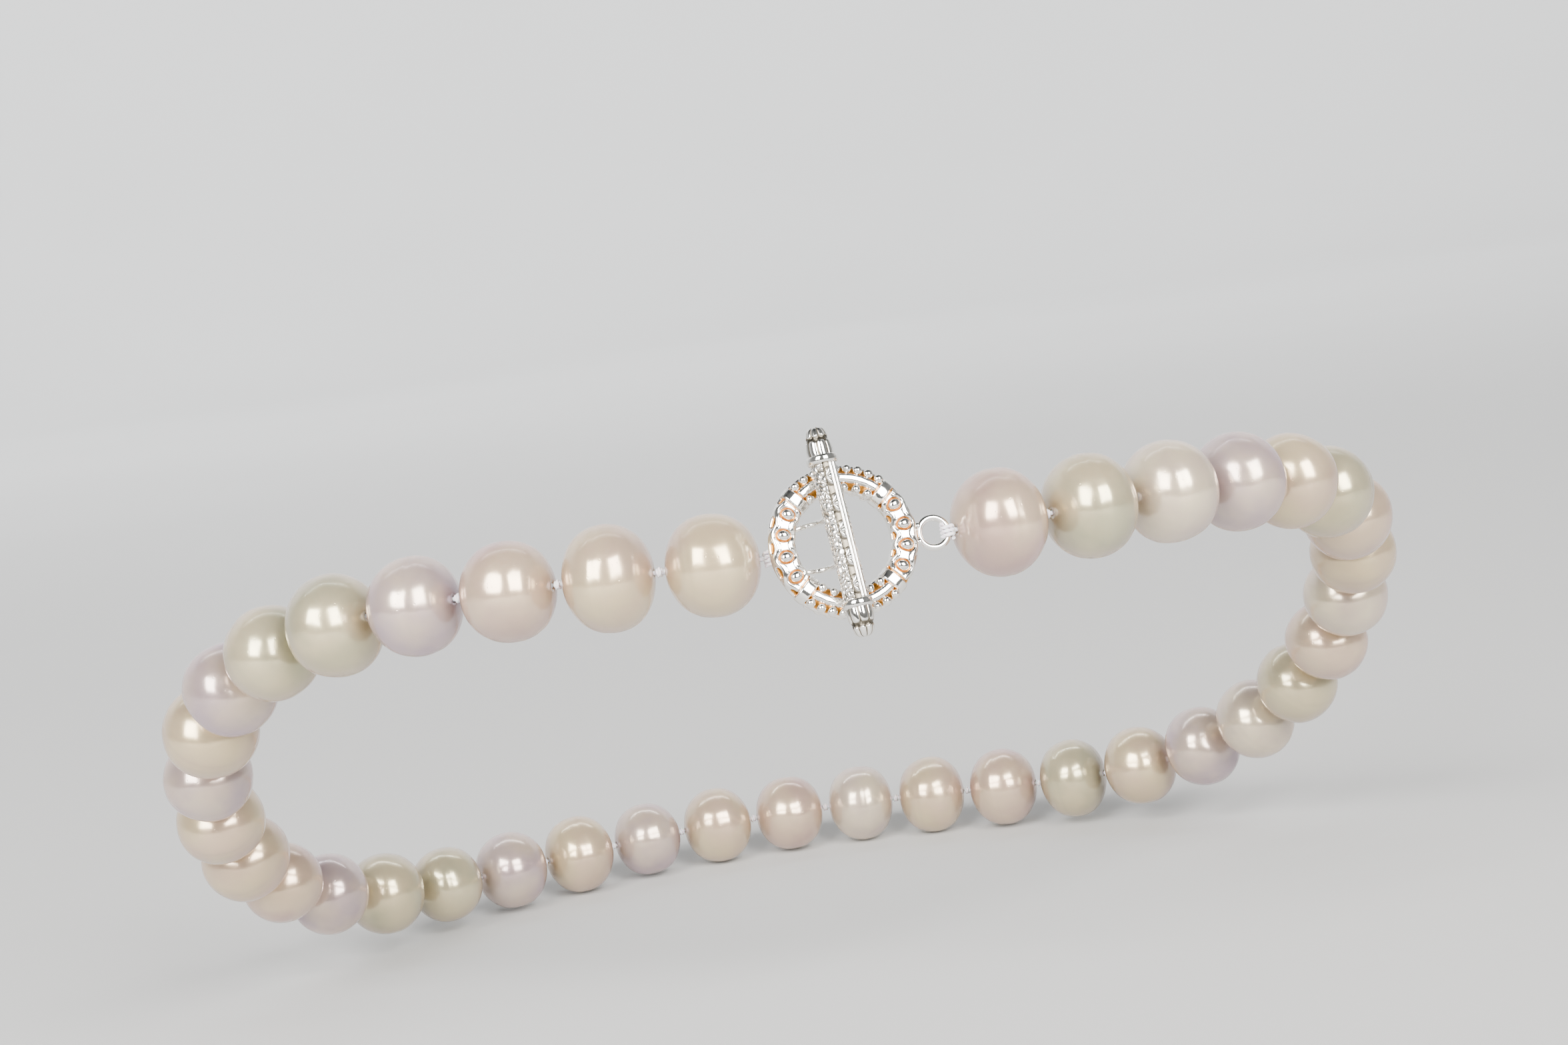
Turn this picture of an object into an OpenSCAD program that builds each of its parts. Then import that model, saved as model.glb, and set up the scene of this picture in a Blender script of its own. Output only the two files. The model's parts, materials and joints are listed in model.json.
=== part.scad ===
// Single-strand necklace of freshwater pearls, knotted on silk, with a toggle
// clasp, in the shape it takes when worn.
// Units are millimetres. +Z is up and +Y points from the nape to the chest.
// The origin is the middle of the neck opening, level with the clasp.

/* [Pearls] */
// Length of a pearl along its thread
pearl_len = 9.5; // [6:0.1:12]
// Diameter of a pearl across its thread
pearl_dia = 10.9; // [7:0.1:13]
// How far pearl lengths wander from the average
len_wander = 0.2; // [0:0.05:0.3]
// How far pearl diameters wander from the average
dia_wander = 0.35; // [0:0.05:0.5]
// Roundness of the shoulders: 2 is an ellipse, more is squarer
shoulder = 2.15; // [2:0.05:2.4]
// Diameter of the drilled hole
drill_dia = 0.85; // [0.7:0.05:1.2]

/* [Strand] */
// Gap between two pearls, which holds a knot
knot_gap = 1.1; // [0.9:0.05:1.6]
// Gap from the middle of a clasp wire to the first pearl
eye_gap = 0.95; // [0.95:0.05:1.6]
// Diameter of the silk
silk_dia = 0.7; // [0.4:0.05:0.75]
// Thickness of the silk that loops round the clasp wires
loop_silk_dia = 0.36; // [0.2:0.02:0.4]

/* [Worn shape] */
// How oval the loop is: 0 is round, more is wider from side to side
oval = 8.4; // [0:0.1:14]
// Steepest slope of the strand, where it passes over the shoulders
slope = 42; // [0:1:50]
// How late the strand starts to fall
slope_power = 4.5; // [1:0.5:6]

/* [Clasp ring] */
// Outer diameter of the ring
ring_dia = 15.5; // [13:0.1:20]
// Width of the ring's wall, from its opening to its edge
ring_wall = 2.8; // [2:0.1:3.2]
// Thickness of the ring from front to back
ring_thick = 2.2; // [1.6:0.1:3]
// Width of each smooth collar band
band_width = 1.1; // [0.6:0.1:1.6]
// How far a collar band stands proud
band_proud = 0.1; // [0.05:0.01:0.12]
// Outer diameter of the eyelet soldered to the ring
eyelet_dia = 3.8; // [3.4:0.1:4.6]
// Diameter of the eyelet's wire
eyelet_wire = 0.74; // [0.5:0.02:0.8]
// Angle at which the clasp leans back against the neck
clasp_lean = 15; // [0:1:25]

/* [Toggle bar] */
// Length of the bar from tip to tip
bar_len = 21.4; // [19:0.1:26]
// Diameter of the bar's body
bar_dia = 2.5; // [2:0.1:3.2]
// Distance between the middles of the two collars
collar_span = 14.7; // [13:0.1:18]
// Width of a collar
collar_width = 0.85; // [0.5:0.05:1.4]
// How far a collar stands proud of the body
collar_proud = 0.32; // [0.05:0.01:0.4]
// Diameter of the bud at each end, where it meets the collar
bud_dia = 2.75; // [1.8:0.05:3]
// Diameter of the polished rail along one side of the body
rail_dia = 0.8; // [0.4:0.05:1]
// How far the bar's axis lies to the left of the ring's centre
bar_shift = 0.9; // [0:0.1:1.2]
// Angle at which the bar leans in the ring
bar_lean = 6; // [0:1:10]
// Distance between the two arms of the bar's wire loop
arm_span = 5; // [4:0.1:5.4]
// Diameter of the loop's wire
arm_dia = 0.6; // [0.4:0.02:0.7]

/* [Hidden] */
$fn = 48;
side_count = 19;        // pearls on each side of the front knot, an odd number
air = 0.05;             // clearance between pieces that move or rub
pearl_steps = 26;       // steps of the pearl's outline, from hole to hole
ring_steps = 32;        // steps of the ring's cross-section
link_count = (side_count - 1) / 2;

function two_digits(i) = i < 10 ? str("0", i) : str(i);

// ---- Clasp layout, in the clasp's own frame: ring centre at the origin,
// ---- +X right, +Y towards the neck, +Z up

ring_mid = (ring_dia - ring_wall) / 2;
eyelet_mid = (eyelet_dia - eyelet_wire) / 2;
solder_bite = 0.15;
eyelet_x = ring_dia / 2 - solder_bite + eyelet_dia / 2;

// The bar lies on the front face of the ring
collar_dia = bar_dia + 2 * collar_proud;
bar_y = -(ring_thick + collar_dia) / 2 - air;

// The loop's wire passes through the opening and ends behind the ring
eye_setback = 0.45;
eye_drop = 0.6;
eye_x = -(ring_dia / 2 - 0.5);
eye_y = ring_thick / 2 + arm_dia / 2 + eye_setback;
left_eye = [eye_x, eye_y, -eye_drop];
right_eye = [eyelet_x + eyelet_mid, 0, 0];

// ---- Turning the clasp so that its two eyes lie level, along X

function turn_x(v, a) = [v.x, v.y * cos(a) - v.z * sin(a), v.y * sin(a) + v.z * cos(a)];
function turn_y(v, a) = [v.x * cos(a) + v.z * sin(a), v.y, v.z * cos(a) - v.x * sin(a)];

leaned = turn_x(right_eye - left_eye, -clasp_lean);
clasp_roll = atan2(leaned.z, leaned.x);
levelled = turn_y(leaned, clasp_roll);
clasp_yaw = -atan2(levelled.y, levelled.x);
eye_chord = norm(leaned);

// ---- The strand, from the right eye round to the front knot

// Both halves of the strand have the same lengths, so that the loop closes
function pearl_length(i) = pearl_len + len_wander * sin(137.5 * i);
// On the right the diameters swell and shrink slowly, on the left every third pearl is larger
function pearl_width(i, side) = side > 0
    ? pearl_dia + dia_wander * cos(26 * (i - 1))
    : pearl_dia + dia_wander * (cos(123 * (i - 2)) - 0.5);

// Step i runs from the knot before pearl i to the knot after it
function step_length(i) = pearl_length(i) + knot_gap / 2 + (i == 1 ? eye_gap : knot_gap / 2);
function reach(i) = i == 0 ? eye_chord / 2 : reach(i - 1) + step_length(i);
half_length = reach(side_count);
// How far round the middle of each step lies: 0 at the nape, 180 at the front
turns = [for (i = [0:side_count]) i == 0 ? 0 : 180 * (reach(i) - step_length(i) / 2) / half_length];

function fall(i) = slope * pow(sin(turns[i]), slope_power);
function plan_length(i) = step_length(i) * cos(fall(i));
function heading(i, shift) = turns[i] - oval * sin(2 * turns[i]) + shift * sin(turns[i]);

// The shift that makes both halves meet at the front is found by Newton's method
function total(list, i = 0) = i == len(list) ? 0 : list[i] + total(list, i + 1);
function miss(shift) = eye_chord / 2
    + total([for (i = [1:side_count]) plan_length(i) * cos(heading(i, shift))]);
function miss_rate(shift) = -(PI / 180)
    * total([for (i = [1:side_count]) plan_length(i) * sin(heading(i, shift)) * sin(turns[i])]);
function solve_shift(shift, rounds) = rounds == 0 ? shift
    : solve_shift(shift - miss(shift) / miss_rate(shift), rounds - 1);
loop_shift = solve_shift(0, 8);

headings = [for (i = [0:side_count]) i == 0 ? 0 : heading(i, loop_shift)];
function step(i) = step_length(i) * [
    cos(headings[i]) * cos(fall(i)),
    sin(headings[i]) * cos(fall(i)),
    -sin(fall(i))
];
function knot_from_eye(i) = i == 0 ? [eye_chord / 2, 0, 0] : knot_from_eye(i - 1) + step(i);
nape_y = -knot_from_eye(side_count).y / 2;
knots = [for (i = [0:side_count]) knot_from_eye(i) + [0, nape_y, 0]];

// A pearl's centre lies nearer the knot at the end of its step
function pearl_centre(i) = knots[i] - step(i) / step_length(i) * (knot_gap + pearl_length(i)) / 2;

// ---- Helpers

// Puts a shape drawn along +Z at a point of the strand, along step i
module along_step(i, point, side) {
    place = [side * point.x, point.y, point.z];
    course = side > 0 ? headings[i] : 180 - headings[i];
    translate(place) rotate([0, 90 + fall(i), course]) children();
}

// A rounded oval outline, with its centre at the origin
function oval_point(half_w, half_h, power, a) = [
    half_w * sign(cos(a)) * pow(abs(cos(a)), 2 / power),
    half_h * sign(sin(a)) * pow(abs(sin(a)), 2 / power)
];

// A rod between two points that stops a little short of each
module rod(from, to, dia, short = 0) {
    run = to - from;
    translate(from + run / norm(run) * short)
        rotate([0, acos(run.z / norm(run)), atan2(run.y, run.x)])
            cylinder(h = norm(run) - 2 * short, d = dia);
}

module in_clasp_frame() {
    translate([eye_chord / 2, nape_y, 0])
        rotate([0, 0, clasp_yaw]) rotate([0, clasp_roll, 0]) rotate([-clasp_lean, 0, 0])
            translate(-right_eye) children();
}

// ---- Pearls

module pearl(i, side) {
    half_len = pearl_length(i) / 2;
    half_dia = pearl_width(i, side) / 2;
    hole = drill_dia / 2;
    // Angle at which the outline meets the hole
    first = asin(pow(hole / half_dia, shoulder / 2));
    outline = [for (k = [0:pearl_steps])
        let (p = oval_point(half_len, half_dia, shoulder, first + (180 - 2 * first) * k / pearl_steps))
        [p.y, p.x]];
    color("seashell")
        along_step(i, pearl_centre(i), side)
            rotate_extrude() polygon(outline);
}

// ---- Silk

ball_dia = 1.12;                          // knot that the next link turns on
mouth = ball_dia / 2 + air;               // where the next thread starts
tuck = ball_dia / 5;                      // where a thread ends inside its own knot
loop_mid = eyelet_wire / 2 + loop_silk_dia / 2 + 2 * air;

// One thread through a pearl, starting a little way from the knot before it
module thread(i, start, side) {
    along_step(i, knots[i - 1] + step(i) / step_length(i) * start, side)
        cylinder(h = step_length(i) - start - tuck, d = silk_dia);
}

// The ball's poles lie to either side of the thread
module knot(i, side) {
    along_step(i, knots[i], side) rotate([90, 0, 0]) sphere(d = ball_dia);
}

// The silk that wraps round a clasp wire
module silk_loop(side) {
    translate([side * knots[0].x, knots[0].y, knots[0].z])
        rotate_extrude() translate([loop_mid, 0]) circle(d = loop_silk_dia);
}

// Silk of one link: two threads, the knot between them and the knot that ends it
module silk(j, side) {
    color("lavenderblush") {
        if (j == 1) silk_loop(side);
        thread(2 * j - 1, j == 1 ? loop_mid : mouth, side);
        knot(2 * j - 1, side);
        thread(2 * j, tuck, side);
        knot(2 * j, side);
    }
}

// The front link's two threads meet in the middle knot
module silk_front() {
    color("lavenderblush") {
        for (side = [-1, 1]) thread(side_count, mouth, side);
        knot(side_count, 1);
    }
}

// ---- Clasp

// The ring's wall, made fuller by the given amount
module wall_outline(extra) {
    polygon([for (k = [0:ring_steps - 1])
        let (p = oval_point(ring_wall / 2 + extra, ring_thick / 2 + extra, 2.3, 360 * k / ring_steps))
        [ring_mid + p.x, p.y]]);
}

module clasp_ring() {
    band_angle = band_width / (ring_dia / 2) * 180 / PI;
    color("silver")
        in_clasp_frame() rotate([90, 0, 0]) {
            rotate_extrude() wall_outline(0);
            for (a = [45:90:315])
                rotate([0, 0, a - band_angle / 2])
                    rotate_extrude(angle = band_angle) wall_outline(band_proud);
        }
}

module eyelet() {
    pad_dia = 0.8;
    pad_x = ring_dia / 2 + 0.1;
    color("silver")
        in_clasp_frame() {
            translate([eyelet_x, 0, 0]) rotate([90, 0, 0])
                rotate_extrude() translate([eyelet_mid, 0]) circle(d = eyelet_wire);
            for (side = [-1, 1]) translate([pad_x, 0, side * pad_dia]) sphere(d = pad_dia);
        }
}

// The bar from tip to tip, along Z, with its rail on the +X side
module bar_body() {
    rail_proud = 0.1;
    collar_in = (collar_span - collar_width) / 2;
    collar_out = (collar_span + collar_width) / 2;
    bud_len = bar_len / 2 - collar_out;
    bud_steps = 10;
    bud = [for (k = [0:bud_steps])
        let (a = 90 * k / bud_steps)
        [bud_dia / 2 * cos(a), collar_out + bud_len * sin(a)]];
    upper = concat(
        [[bar_dia / 2, collar_in], [collar_dia / 2, collar_in], [collar_dia / 2, collar_out]],
        bud
    );
    lower = [for (k = [len(upper) - 1:-1:0]) [upper[k].x, -upper[k].y]];
    rotate_extrude() polygon(concat(lower, upper));
    rotate([0, 0, -30])
        translate([(bar_dia - rail_dia) / 2 + rail_proud, 0, -collar_in - collar_width / 2])
            cylinder(h = 2 * collar_in + collar_width, d = rail_dia);
}

// The wire loop: two arms through the ring's opening and a round end behind it
module bar_loop() {
    end_r = arm_span / 2;
    bend_dia = arm_dia * 1.3;
    tuck_in = arm_dia / 6;
    // The arms leave the bar's back, turn in the opening, and turn again behind the ring
    root = [-bar_shift - bar_dia / 6, bar_y + bar_dia / 4, -eye_drop];
    elbow = [-bar_shift - bar_dia / 2, ring_thick / 3, -eye_drop];
    turn_in = [eye_x + end_r, eye_y, -eye_drop];
    for (side = [-1, 1]) {
        rise = [0, 0, side * end_r];
        rod(root + rise, elbow + rise, arm_dia, tuck_in);
        rod(elbow + rise, turn_in + rise, arm_dia, tuck_in);
        translate(elbow + rise) sphere(d = bend_dia);
        translate(turn_in + rise) sphere(d = bend_dia);
    }
    end_angle = 180 - 2 * tuck_in / end_r * 180 / PI;
    translate(turn_in) rotate([90, 0, 0]) rotate([0, 0, 180 - end_angle / 2])
        rotate_extrude(angle = end_angle) translate([end_r, 0]) circle(d = arm_dia);
}

module toggle_bar() {
    color("gainsboro")
        in_clasp_frame()
            translate(left_eye) rotate([0, -bar_lean, 0]) translate(-left_eye) {
                translate([-bar_shift, bar_y, 0]) bar_body();
                bar_loop();
            }
}

// ---- Assembly

clasp_ring();
eyelet();
toggle_bar();
for (i = [1:side_count]) {
    pearl(i, 1);
    pearl(i, -1);
}
for (j = [1:link_count]) {
    silk(j, 1);
    silk(j, -1);
}
silk_front();
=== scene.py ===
# %% [markdown]
# # A pearl necklace with a toggle clasp
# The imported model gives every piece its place. This lesson dresses it: nacre for
# the pearls, twisted silk for the thread, and cast, plated metal for the clasp.
# Sizes are in millimetres until a mesh is finished, and metres after that.

# %% Load the frame and keep its size
import json
import math

import bmesh
import bpy
import numpy as np
from mathutils import Matrix, Vector, noise

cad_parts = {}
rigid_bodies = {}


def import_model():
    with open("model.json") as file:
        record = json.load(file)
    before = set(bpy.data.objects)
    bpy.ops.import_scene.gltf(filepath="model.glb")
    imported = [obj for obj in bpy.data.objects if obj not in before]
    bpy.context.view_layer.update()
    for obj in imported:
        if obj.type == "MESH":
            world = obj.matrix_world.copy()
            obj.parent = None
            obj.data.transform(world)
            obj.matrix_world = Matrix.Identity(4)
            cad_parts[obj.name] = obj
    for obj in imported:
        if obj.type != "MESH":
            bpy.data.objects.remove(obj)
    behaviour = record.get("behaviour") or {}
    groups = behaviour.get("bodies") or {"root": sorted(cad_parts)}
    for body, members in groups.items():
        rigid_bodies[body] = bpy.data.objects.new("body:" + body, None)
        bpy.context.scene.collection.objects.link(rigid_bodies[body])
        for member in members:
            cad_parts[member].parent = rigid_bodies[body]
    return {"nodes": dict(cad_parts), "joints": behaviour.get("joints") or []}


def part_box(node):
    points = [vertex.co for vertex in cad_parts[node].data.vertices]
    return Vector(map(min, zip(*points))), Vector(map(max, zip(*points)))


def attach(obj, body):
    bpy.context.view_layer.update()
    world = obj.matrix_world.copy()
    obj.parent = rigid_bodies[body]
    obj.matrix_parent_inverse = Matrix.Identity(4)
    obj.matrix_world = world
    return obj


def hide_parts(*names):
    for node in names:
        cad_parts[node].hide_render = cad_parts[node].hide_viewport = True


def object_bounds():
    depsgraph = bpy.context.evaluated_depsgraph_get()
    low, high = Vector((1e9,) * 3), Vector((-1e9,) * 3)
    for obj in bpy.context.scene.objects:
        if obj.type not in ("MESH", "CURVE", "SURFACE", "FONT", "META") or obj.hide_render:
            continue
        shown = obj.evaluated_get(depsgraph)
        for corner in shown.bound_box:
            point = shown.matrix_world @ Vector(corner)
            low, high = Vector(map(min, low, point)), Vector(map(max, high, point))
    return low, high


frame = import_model()
cad_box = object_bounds()
MM = 0.001
print("the model's box in metres:", cad_box)

# %% [markdown]
# ## The camera
# It stands behind the neck, a little to the left and above, and tips a few degrees
# to one side, so the strand climbs to the right. The long side of the frame takes
# in both shoulders. A matrix built from the three viewing directions is exact,
# where turning the camera by three angles would need trial and error.

# %% Camera
joints = {j["name"]: j for j in frame["joints"]}


def joint_place(name):
    """Where a joint's pivot lies, in millimetres."""
    return np.array(joints[name]["pos_m"]) / MM


CAMERA_AZIMUTH = math.radians(9.3)
CAMERA_ELEVATION = math.radians(6.78)
CAMERA_TIP = math.radians(7.4)
CAMERA_DISTANCE = 238.9
CAMERA_LENS = 55.1

ring_low, ring_high = (np.array(c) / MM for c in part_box("clasp_ring"))
ring_centre = (ring_low + ring_high) / 2
camera_target = ring_centre + [-5.7, 0, 2.8]

forward = np.array([
    math.sin(CAMERA_AZIMUTH) * math.cos(CAMERA_ELEVATION),
    math.cos(CAMERA_AZIMUTH) * math.cos(CAMERA_ELEVATION),
    -math.sin(CAMERA_ELEVATION),
])
level = np.array([math.cos(CAMERA_AZIMUTH), -math.sin(CAMERA_AZIMUTH), 0])
upward = np.cross(level, forward)
camera_right = level * math.cos(CAMERA_TIP) - upward * math.sin(CAMERA_TIP)
camera_up = level * math.sin(CAMERA_TIP) + upward * math.cos(CAMERA_TIP)

camera_data = bpy.data.cameras.new("camera")
camera_data.lens = CAMERA_LENS
camera_data.clip_start = 0.01
camera = bpy.data.objects.new("camera", camera_data)
bpy.context.scene.collection.objects.link(camera)
turn = Matrix(np.array([camera_right, camera_up, -forward]).T.tolist()).to_4x4()
camera.matrix_world = Matrix.Translation((camera_target - forward * CAMERA_DISTANCE) * MM) @ turn
bpy.context.scene.camera = camera
print("camera stands", CAMERA_DISTANCE, "mm from the clasp")

# %% [markdown]
# ## The path of the strand
# Each knot lies at a joint or halfway between two, and each pearl lies between two
# knots. A pearl is the same distance from the knot on either side, so the knot that
# has no joint is found by stepping back across the pearl from the one that has.

# %% Knots and pearls, from the frame
PEARLS_A_SIDE = sum(name.startswith("pearl_r") for name in frame["nodes"])
LINKS_A_SIDE = (PEARLS_A_SIDE - 1) // 2
KNOT_GAP = 1.1
SIDES = {"r": "right", "l": "left"}


def node_centre(node):
    low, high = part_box(node)
    return (np.array(low) + np.array(high)) / 2 / MM


def strand(side):
    """The pearls' middles and the knots' middles along one side, from the clasp."""
    middles = [node_centre(f"pearl_{side}{i:02d}") for i in range(1, PEARLS_A_SIDE + 1)]
    knots = [None] * (PEARLS_A_SIDE + 1)
    for j in range(LINKS_A_SIDE):
        knots[2 * j] = joint_place(f"{SIDES[side]}_{j + 1:02d}_flex")
    front = joint_place("front_flex")
    knots[2 * LINKS_A_SIDE] = front * ([1, 1, 1] if side == "r" else [-1, 1, 1])
    for j in range(1, LINKS_A_SIDE + 1):
        knots[2 * j - 1] = 2 * middles[2 * j - 1] - knots[2 * j]
    knots[-1] = 2 * middles[-1] - knots[-2]
    return middles, knots


strands = {side: strand(side) for side in SIDES}


def pearl_facts(side, i):
    """A pearl's middle, thread direction, half length and radius."""
    middles, knots = strands[side]
    middle = middles[i - 1]
    run = knots[i] - knots[i - 1]
    along = run / np.linalg.norm(run)
    half = np.linalg.norm(knots[i] - middle) - KNOT_GAP / 2
    cad = frame["nodes"][f"pearl_{side}{i:02d}"].data
    points = np.empty(len(cad.vertices) * 3)
    cad.vertices.foreach_get("co", points)
    away = points.reshape(-1, 3) / MM - middle
    away -= np.outer(away @ along, along)
    return middle, along, half, np.linalg.norm(away, axis=1).max()


_, _, first_half, first_radius = pearl_facts("r", 1)
print(f"{2 * PEARLS_A_SIDE} pearls; the first is {2 * first_half:.2f} by {2 * first_radius:.2f} mm")

# %% [markdown]
# ## Meshes from formulas
# A pearl, a ring and a turned bar are all a grid of points wrapped round a shape. A
# grid made in numpy holds as fine a relief as the cast metal needs, and its faces
# stay even. Sculpting by displacement could do the same, but not repeatably.


# %% A mesh piece from points
def add_piece(name, points, faces, material, marks=None):
    """A smooth mesh piece from points in millimetres, already in its place."""
    mesh = bpy.data.meshes.new(name)
    mesh.from_pydata((np.asarray(points) * MM).tolist(), [], faces)
    mesh.validate()
    for mark, values in (marks or {}).items():
        kind = "FLOAT" if np.ndim(values) == 1 else "FLOAT_COLOR"
        layer = mesh.attributes.new(mark, kind, "POINT")
        if kind == "FLOAT":
            layer.data.foreach_set("value", np.asarray(values, dtype=float))
        else:
            opaque = np.c_[values, np.ones(len(values))]
            layer.data.foreach_set("color", opaque.ravel())
    mesh.materials.append(material)
    mesh.shade_smooth()
    piece = bpy.data.objects.new(name, mesh)
    bpy.context.scene.collection.objects.link(piece)
    return piece


# %% Faces over a grid
def grid_faces(rows, columns, join_rows):
    """Quads over a grid whose columns meet up, and whose rows may."""
    faces = []
    for r in range(rows if join_rows else rows - 1):
        for c in range(columns):
            a, b = r * columns + c, r * columns + (c + 1) % columns
            shift = columns if r < rows - 1 else columns * (1 - rows)
            faces.append((a, b, b + shift, a + shift))
    return faces


def face_outwards(piece):
    """Turns a closed mesh's faces so that they point outwards."""
    shape = bmesh.new()
    shape.from_mesh(piece.data)
    bmesh.ops.recalc_face_normals(shape, faces=shape.faces)
    shape.to_mesh(piece.data)
    shape.free()
    return piece


def axes_along(along, hint=(0, 0, 1)):
    """Three square directions as rows, the last one along the given direction."""
    across = np.cross(hint, along)
    across /= np.linalg.norm(across)
    return np.array([across, np.cross(along, across), along])

print("a grid of 4 by 6 joined both ways has", len(grid_faces(4, 6, True)), "faces")

# %% [markdown]
# ## Shader helpers
# Each finish below is a Principled surface fed by node groups. These short helpers
# make a node, set its inputs and join sockets, so a material reads like a recipe.


# %% Node helpers
def node_in(tree, kind, inputs=None, **settings):
    node = tree.nodes.new(kind)
    for key, value in settings.items():
        setattr(node, key, value)
    for key, value in (inputs or {}).items():
        if isinstance(value, bpy.types.NodeSocket):
            tree.links.new(value, node.inputs[key])
        else:
            node.inputs[key].default_value = value
    return node


def mix_tones(tree, factor, first, second):
    """A colour between two colours. Sockets 0, 6 and 7 are the factor and the colours."""
    return node_in(tree, "ShaderNodeMix", {0: factor, 6: first, 7: second},
                   data_type="RGBA").outputs[2]


def shader_group(name, inputs, outputs):
    """An empty shader group with named inputs and outputs."""
    group = bpy.data.node_groups.new(name, "ShaderNodeTree")
    for label, kind, value in inputs:
        socket = group.interface.new_socket(label, in_out="INPUT", socket_type="NodeSocket" + kind)
        socket.default_value = value
    for label, kind in outputs:
        group.interface.new_socket(label, in_out="OUTPUT", socket_type="NodeSocket" + kind)
    return group, node_in(group, "NodeGroupInput").outputs, node_in(group, "NodeGroupOutput").inputs


def finish_named(name, settings):
    """A material with its Principled shader, whose constants are set here."""
    material = bpy.data.materials.new(name)
    material.use_nodes = True
    shader = material.node_tree.nodes["Principled BSDF"]
    for key, value in settings.items():
        shader.inputs[key].default_value = value
    return material, material.node_tree, shader

# %% [markdown]
# ## Nacre
# A freshwater pearl is built from thin layers over a whole year, so its colour lies
# in soft clouds, with faint growth marks and pinprick pits. The light that goes in
# comes back warmer, and thin layers at the surface add pink and green to the gloss.
# Colour is painted on each pearl's own points, because no two pearls match, together
# with a painted shade towards both drilled ends, and the group here only adds the fine
# marks that all of them share.

# %% Growth marks shared by all pearls
marks_group, marks_in, marks_out = shader_group(
    "growth marks",
    [("Mark size", "Float", 900.0), ("Pit size", "Float", 1500.0), ("Strength", "Float", 0.5)],
    [("Cloud", "Float"), ("Height", "Float"), ("Roughness", "Float")],
)
place = node_in(marks_group, "ShaderNodeTexCoord").outputs["Object"]
cloud = node_in(marks_group, "ShaderNodeTexNoise",
                {"Vector": place, "Scale": 150.0, "Detail": 3.0, "Roughness": 0.45}).outputs["Fac"]
fine = node_in(marks_group, "ShaderNodeTexNoise",
               {"Vector": place, "Scale": marks_in["Mark size"], "Detail": 5.0}).outputs["Fac"]
cells = node_in(marks_group, "ShaderNodeTexVoronoi",
                {"Vector": place, "Scale": marks_in["Pit size"]}).outputs["Distance"]
pits = node_in(marks_group, "ShaderNodeMapRange",
               {"Value": cells, "From Min": 0.06, "From Max": 0.16, "To Min": -1.0, "To Max": 0.0})
height = node_in(marks_group, "ShaderNodeMath", {0: fine, 1: pits.outputs[0]}, operation="ADD")
scaled = node_in(marks_group, "ShaderNodeMath", {0: height.outputs[0], 1: marks_in["Strength"]},
                 operation="MULTIPLY")
gloss = node_in(marks_group, "ShaderNodeMapRange",
                {"Value": fine, "From Min": 0.3, "From Max": 0.7, "To Min": 0.18, "To Max": 0.25})
marks_group.links.new(cloud, marks_out["Cloud"])
marks_group.links.new(scaled.outputs[0], marks_out["Height"])
marks_group.links.new(gloss.outputs[0], marks_out["Roughness"])
print("nodes in the growth marks:", len(marks_group.nodes))

# %% The nacre itself
nacre, nacre_tree, nacre_shader = finish_named("nacre", {
    "Metallic": 0.55,
    "IOR": 1.6,
    "Subsurface Weight": 0.1,
    "Subsurface Scale": 0.0016,
    "Subsurface Radius": (1.0, 0.62, 0.42),
    "Coat Weight": 0.45,
    "Coat Roughness": 0.12,
    "Coat IOR": 1.6,
    "Thin Film Thickness": 420.0,
    "Thin Film IOR": 1.36,
    "Sheen Weight": 0.04,
    "Sheen Roughness": 0.4,
    "Sheen Tint": (1.0, 0.86, 0.88, 1.0),
})
# body_tone carries each pearl's own tone together with the painted shade near its drilled ends.
body = node_in(nacre_tree, "ShaderNodeAttribute", attribute_name="body_tone").outputs["Color"]
blush = node_in(nacre_tree, "ShaderNodeAttribute", attribute_name="blush_tone").outputs["Color"]
marks = node_in(nacre_tree, "ShaderNodeGroup", node_tree=marks_group)
spread = node_in(nacre_tree, "ShaderNodeMapRange",
                 {"Value": marks.outputs["Cloud"], "From Min": 0.42, "From Max": 0.66,
                  "To Min": 0.0, "To Max": 0.85})
tone = mix_tones(nacre_tree, spread.outputs[0], body, blush)
bump = node_in(nacre_tree, "ShaderNodeBump",
               {"Strength": 0.22, "Distance": 0.00006, "Height": marks.outputs["Height"]})
nacre_tree.links.new(tone, nacre_shader.inputs["Base Color"])
nacre_tree.links.new(marks.outputs["Roughness"], nacre_shader.inputs["Roughness"])
nacre_tree.links.new(bump.outputs["Normal"], nacre_shader.inputs["Normal"])
print("nodes in the nacre:", len(nacre_tree.nodes))

# %% [markdown]
# ## Pearls
# A pearl is a slightly squat ball, drilled through. Its outline is an ellipse with
# fuller shoulders, turned round the thread. Growth makes it a little lumpy, with
# a shallow ring round the thread, which the formula adds. Each has its own seed,
# so the same script always grows the same pearls.

# %% Tones
TONES = {
    "cream": ((0.58, 0.465, 0.295), (0.55, 0.395, 0.295)),
    "rose": ((0.575, 0.435, 0.315), (0.48, 0.315, 0.275)),
    "lilac": ((0.54, 0.43, 0.355), (0.42, 0.315, 0.34)),
    "green": ((0.52, 0.445, 0.29), (0.385, 0.355, 0.235)),
    "white": ((0.64, 0.54, 0.395), (0.52, 0.41, 0.345)),
}
TONE_ORDER = {
    "l": ["cream", "cream", "rose", "lilac", "green", "green", "lilac", "cream", "lilac"],
    "r": ["rose", "green", "white", "lilac", "cream", "green", "rose", "cream", "white"],
}
# Tan for the pearls' own warm patches, and also for the painted shade near their drilled ends.
TAN_TONE_AND_RIM_SHADE = np.array([0.40, 0.26, 0.13])


def tone_of(side, i):
    order = TONE_ORDER[side]
    return TONES[order[(i - 1) % len(order)]]

print("pearl tones:", ", ".join(TONES))

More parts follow.
